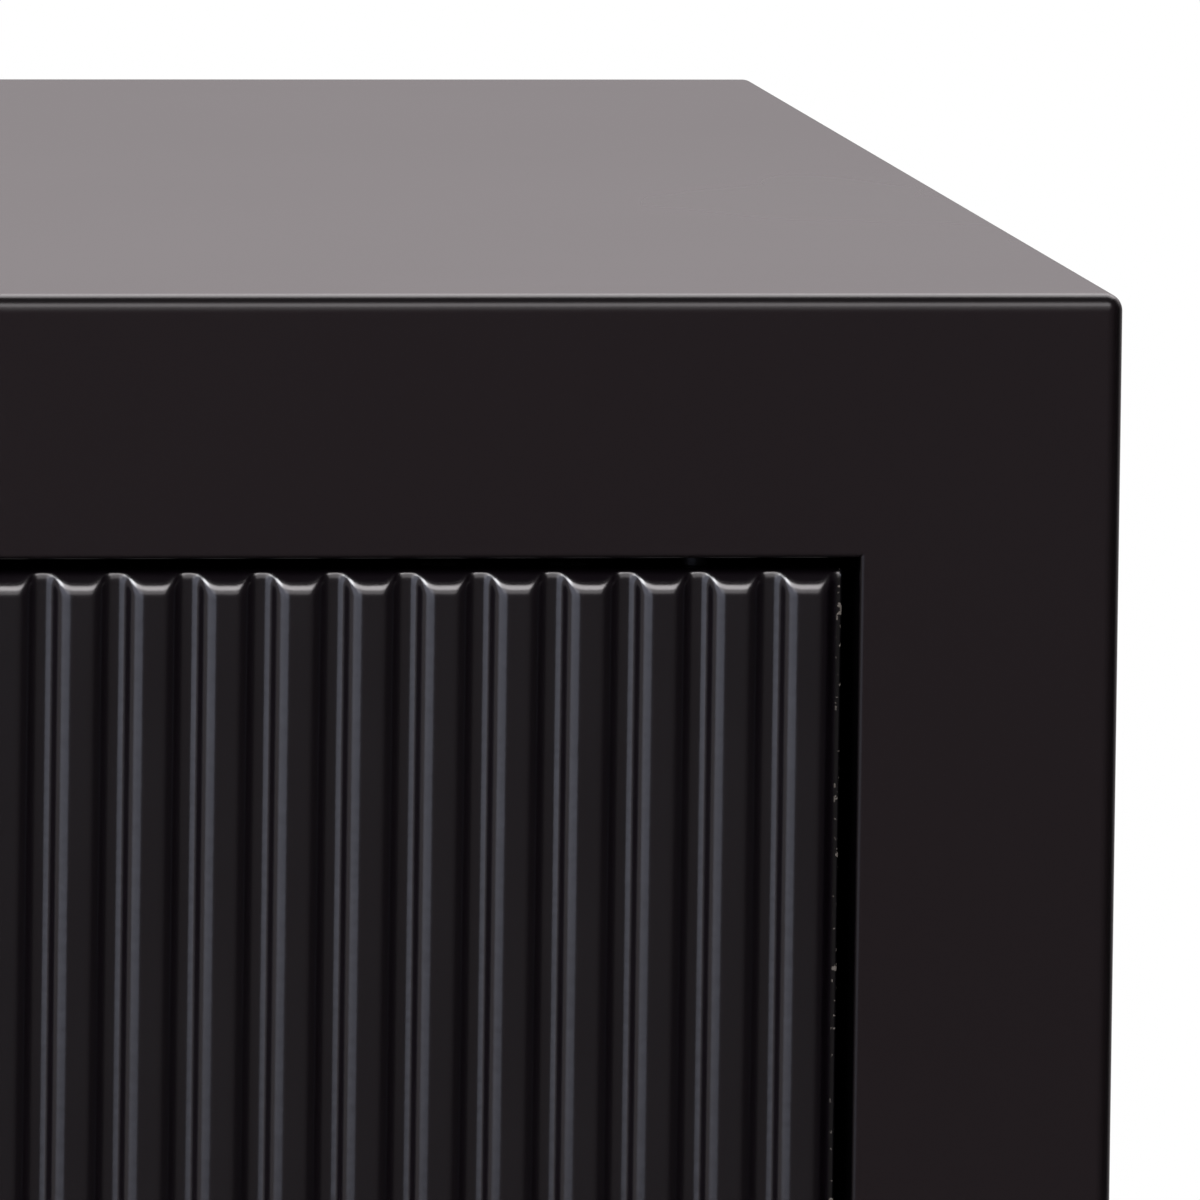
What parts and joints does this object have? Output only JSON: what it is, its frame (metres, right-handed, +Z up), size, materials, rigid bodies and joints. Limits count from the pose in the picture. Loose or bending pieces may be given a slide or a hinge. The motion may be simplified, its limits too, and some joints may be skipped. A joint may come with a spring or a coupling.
{
  "type": "sideboard buffet",
  "caption": "Low black lacquered storage cabinet with a thick mitred case, fluted inset doors on pivot hinges with push latches, shelves inside and a recessed plinth.",
  "frame": {"origin": "on the floor under the middle of the case", "axes": "+X to the right along the case's length, front faces -Y, +Z up"},
  "size_m": [1.6, 0.42, 0.78],
  "materials": {
    "satin_lacquer": "satin black lacquer on MDF",
    "door_lacquer": "semi-gloss black lacquer on fluted MDF",
    "interior_lacquer": "matt black lacquer on board",
    "birch_plywood": "bare birch plywood",
    "beech_dowel": "fluted beech",
    "zinc_screws": "zinc plated",
    "nickel_steel": "nickel plated",
    "black_oxide_pivots": "black oxide on steel",
    "spring_steel": "drawn spring wire",
    "black_nylon": "moulded nylon",
    "white_nylon": "moulded nylon",
    "grey_plastic": "moulded ABS"
  },
  "bodies": {
    "case": {"top_panel": "satin_lacquer", "bottom_panel": "satin_lacquer", "left_side": "satin_lacquer", "right_side": "satin_lacquer", "mitre_splines": "birch_plywood", "centre_divider": "interior_lacquer", "divider_dowels": "beech_dowel", "left_back_panel": "interior_lacquer", "right_back_panel": "interior_lacquer", "back_screws": "zinc_screws", "left_shelf": "interior_lacquer", "right_shelf": "interior_lacquer", "shelf_pegs": "nickel_steel", "plinth_front_rail": "satin_lacquer", "plinth_back_rail": "satin_lacquer", "plinth_left_rail": "satin_lacquer", "plinth_right_rail": "satin_lacquer", "plinth_middle_rail": "satin_lacquer", "plinth_blocks": "birch_plywood", "plinth_screws": "zinc_screws", "levelling_feet": "black_nylon", "upper_pivots": "black_oxide_pivots", "lower_pivots": "black_oxide_pivots", "pivot_screws": "zinc_screws", "thrust_washers": "black_nylon", "latch_housings": "grey_plastic", "latch_screws": "zinc_screws", "latch_1_spring": "spring_steel", "latch_2_spring": "spring_steel", "latch_3_spring": "spring_steel", "latch_4_spring": "spring_steel"},
    "plunger_1": {"latch_1_plunger": "white_nylon"},
    "door_1": {"door_1_panel": "door_lacquer", "door_1_hinge_leaves": "black_oxide_pivots", "door_1_bushes": "white_nylon", "door_1_strike_plate": "nickel_steel", "door_1_screws": "zinc_screws"},
    "plunger_2": {"latch_2_plunger": "white_nylon"},
    "door_2": {"door_2_panel": "door_lacquer", "door_2_hinge_leaves": "black_oxide_pivots", "door_2_bushes": "white_nylon", "door_2_strike_plate": "nickel_steel", "door_2_screws": "zinc_screws"},
    "plunger_3": {"latch_3_plunger": "white_nylon"},
    "door_3": {"door_3_panel": "door_lacquer", "door_3_hinge_leaves": "black_oxide_pivots", "door_3_bushes": "white_nylon", "door_3_strike_plate": "nickel_steel", "door_3_screws": "zinc_screws"},
    "plunger_4": {"latch_4_plunger": "white_nylon"},
    "door_4": {"door_4_panel": "door_lacquer", "door_4_hinge_leaves": "black_oxide_pivots", "door_4_bushes": "white_nylon", "door_4_strike_plate": "nickel_steel", "door_4_screws": "zinc_screws"}
  },
  "joints": [
    {"name": "door_1_hinge", "type": "hinge", "parent": "case", "child": "door_1", "pos_m": [-0.7285, -0.198, 0.425], "axis": [0, 0, 1], "range_deg": [-90, 0]},
    {"name": "door_2_hinge", "type": "hinge", "parent": "case", "child": "door_2", "pos_m": [-0.02525, -0.198, 0.425], "axis": [0, 0, 1], "range_deg": [0, 90]},
    {"name": "door_3_hinge", "type": "hinge", "parent": "case", "child": "door_3", "pos_m": [0.02525, -0.198, 0.425], "axis": [0, 0, 1], "range_deg": [-90, 0]},
    {"name": "door_4_hinge", "type": "hinge", "parent": "case", "child": "door_4", "pos_m": [0.7285, -0.198, 0.425], "axis": [0, 0, 1], "range_deg": [0, 90]},
    {"name": "latch_1_press", "type": "slide", "parent": "case", "child": "plunger_1", "axis": [0, 1, 0], "range_m": [0, 0.0025], "stiffness_N_per_m": 1500, "springref_m": -0.002, "deforming": ["latch_1_spring"]},
    {"name": "latch_2_press", "type": "slide", "parent": "case", "child": "plunger_2", "axis": [0, 1, 0], "range_m": [0, 0.0025], "stiffness_N_per_m": 1500, "springref_m": -0.002, "deforming": ["latch_2_spring"]},
    {"name": "latch_3_press", "type": "slide", "parent": "case", "child": "plunger_3", "axis": [0, 1, 0], "range_m": [0, 0.0025], "stiffness_N_per_m": 1500, "springref_m": -0.002, "deforming": ["latch_3_spring"]},
    {"name": "latch_4_press", "type": "slide", "parent": "case", "child": "plunger_4", "axis": [0, 1, 0], "range_m": [0, 0.0025], "stiffness_N_per_m": 1500, "springref_m": -0.002, "deforming": ["latch_4_spring"]}
  ]
}
